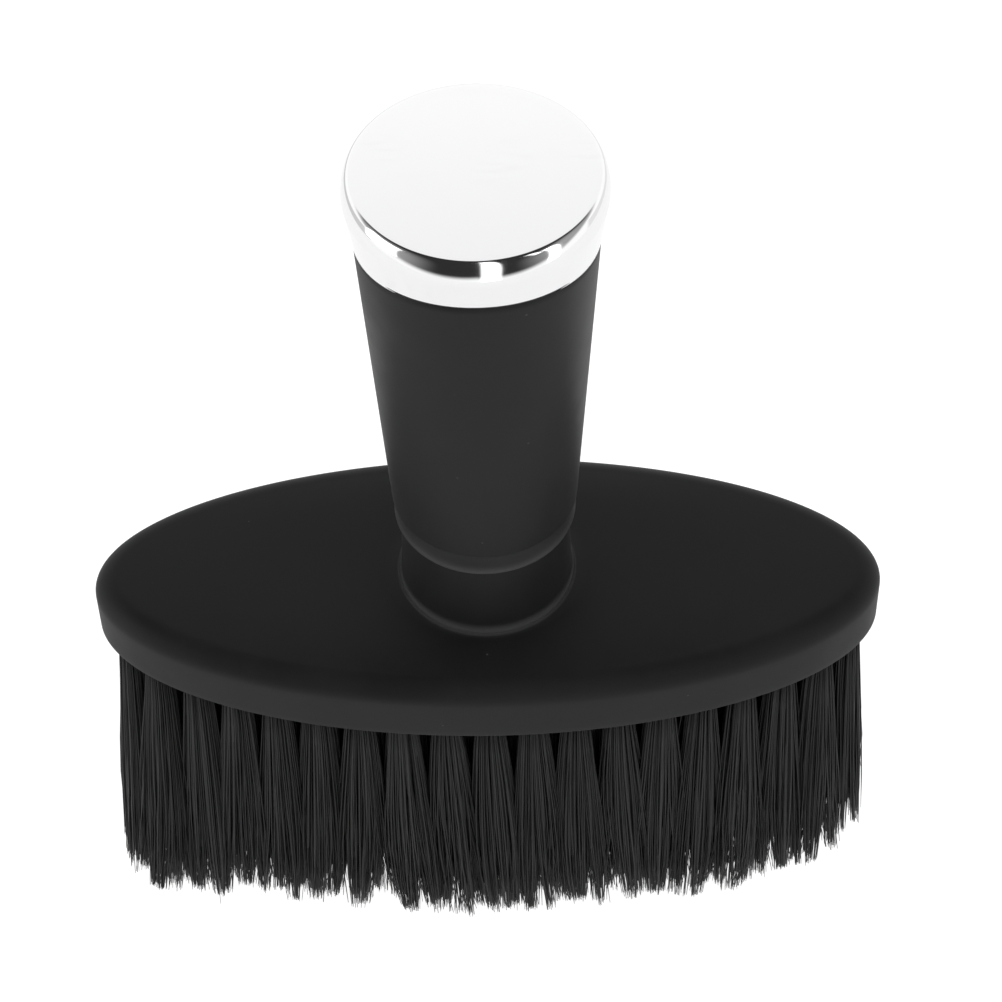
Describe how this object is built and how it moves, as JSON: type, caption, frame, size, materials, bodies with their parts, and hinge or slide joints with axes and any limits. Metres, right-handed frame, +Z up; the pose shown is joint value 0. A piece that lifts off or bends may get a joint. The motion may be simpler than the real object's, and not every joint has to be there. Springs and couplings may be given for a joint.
{
  "type": "neck duster brush",
  "caption": "Upright barber's neck duster with an oval bristle head, a tapered round handle and a bright domed cap.",
  "frame": {"origin": "centre of the bounding box's bottom face, in the plane of the bristle tips that the brush stands on", "axes": "+Z up along the handle, +X along the long axis of the oval plate, +Y across the plate"},
  "size_m": [0.121, 0.0504, 0.1426],
  "materials": {
    "soft_touch_black": "soft-touch matte",
    "block_black": "matte",
    "bristle_black": "satin filament",
    "chrome_cap": "polished",
    "seat_rubber": "matte",
    "core_plastic": "moulded",
    "screw_steel": "zinc plated",
    "insert_brass": "turned",
    "anchor_brass": "flat wire"
  },
  "bodies": {
    "root": {"plate_cover": "soft_touch_black", "bristle_block": "block_black", "tufts_outer_row": "bristle_black", "tufts_second_row": "bristle_black", "tufts_third_row": "bristle_black", "tufts_centre_row": "bristle_black", "anchors_outer_row": "anchor_brass", "anchors_second_row": "anchor_brass", "anchors_third_row": "anchor_brass", "anchors_centre_row": "anchor_brass", "block_screws": "screw_steel", "handle_screw": "screw_steel", "handle_screw_washer": "screw_steel", "lower_insert": "insert_brass", "locating_pins": "screw_steel", "seat_ring": "seat_rubber", "handle_core": "core_plastic", "handle_grip": "soft_touch_black", "upper_insert": "insert_brass", "cap_plug": "core_plastic", "plug_screw": "screw_steel", "cap_seal": "seat_rubber", "handle_cap": "chrome_cap"}
  },
  "joints": []
}
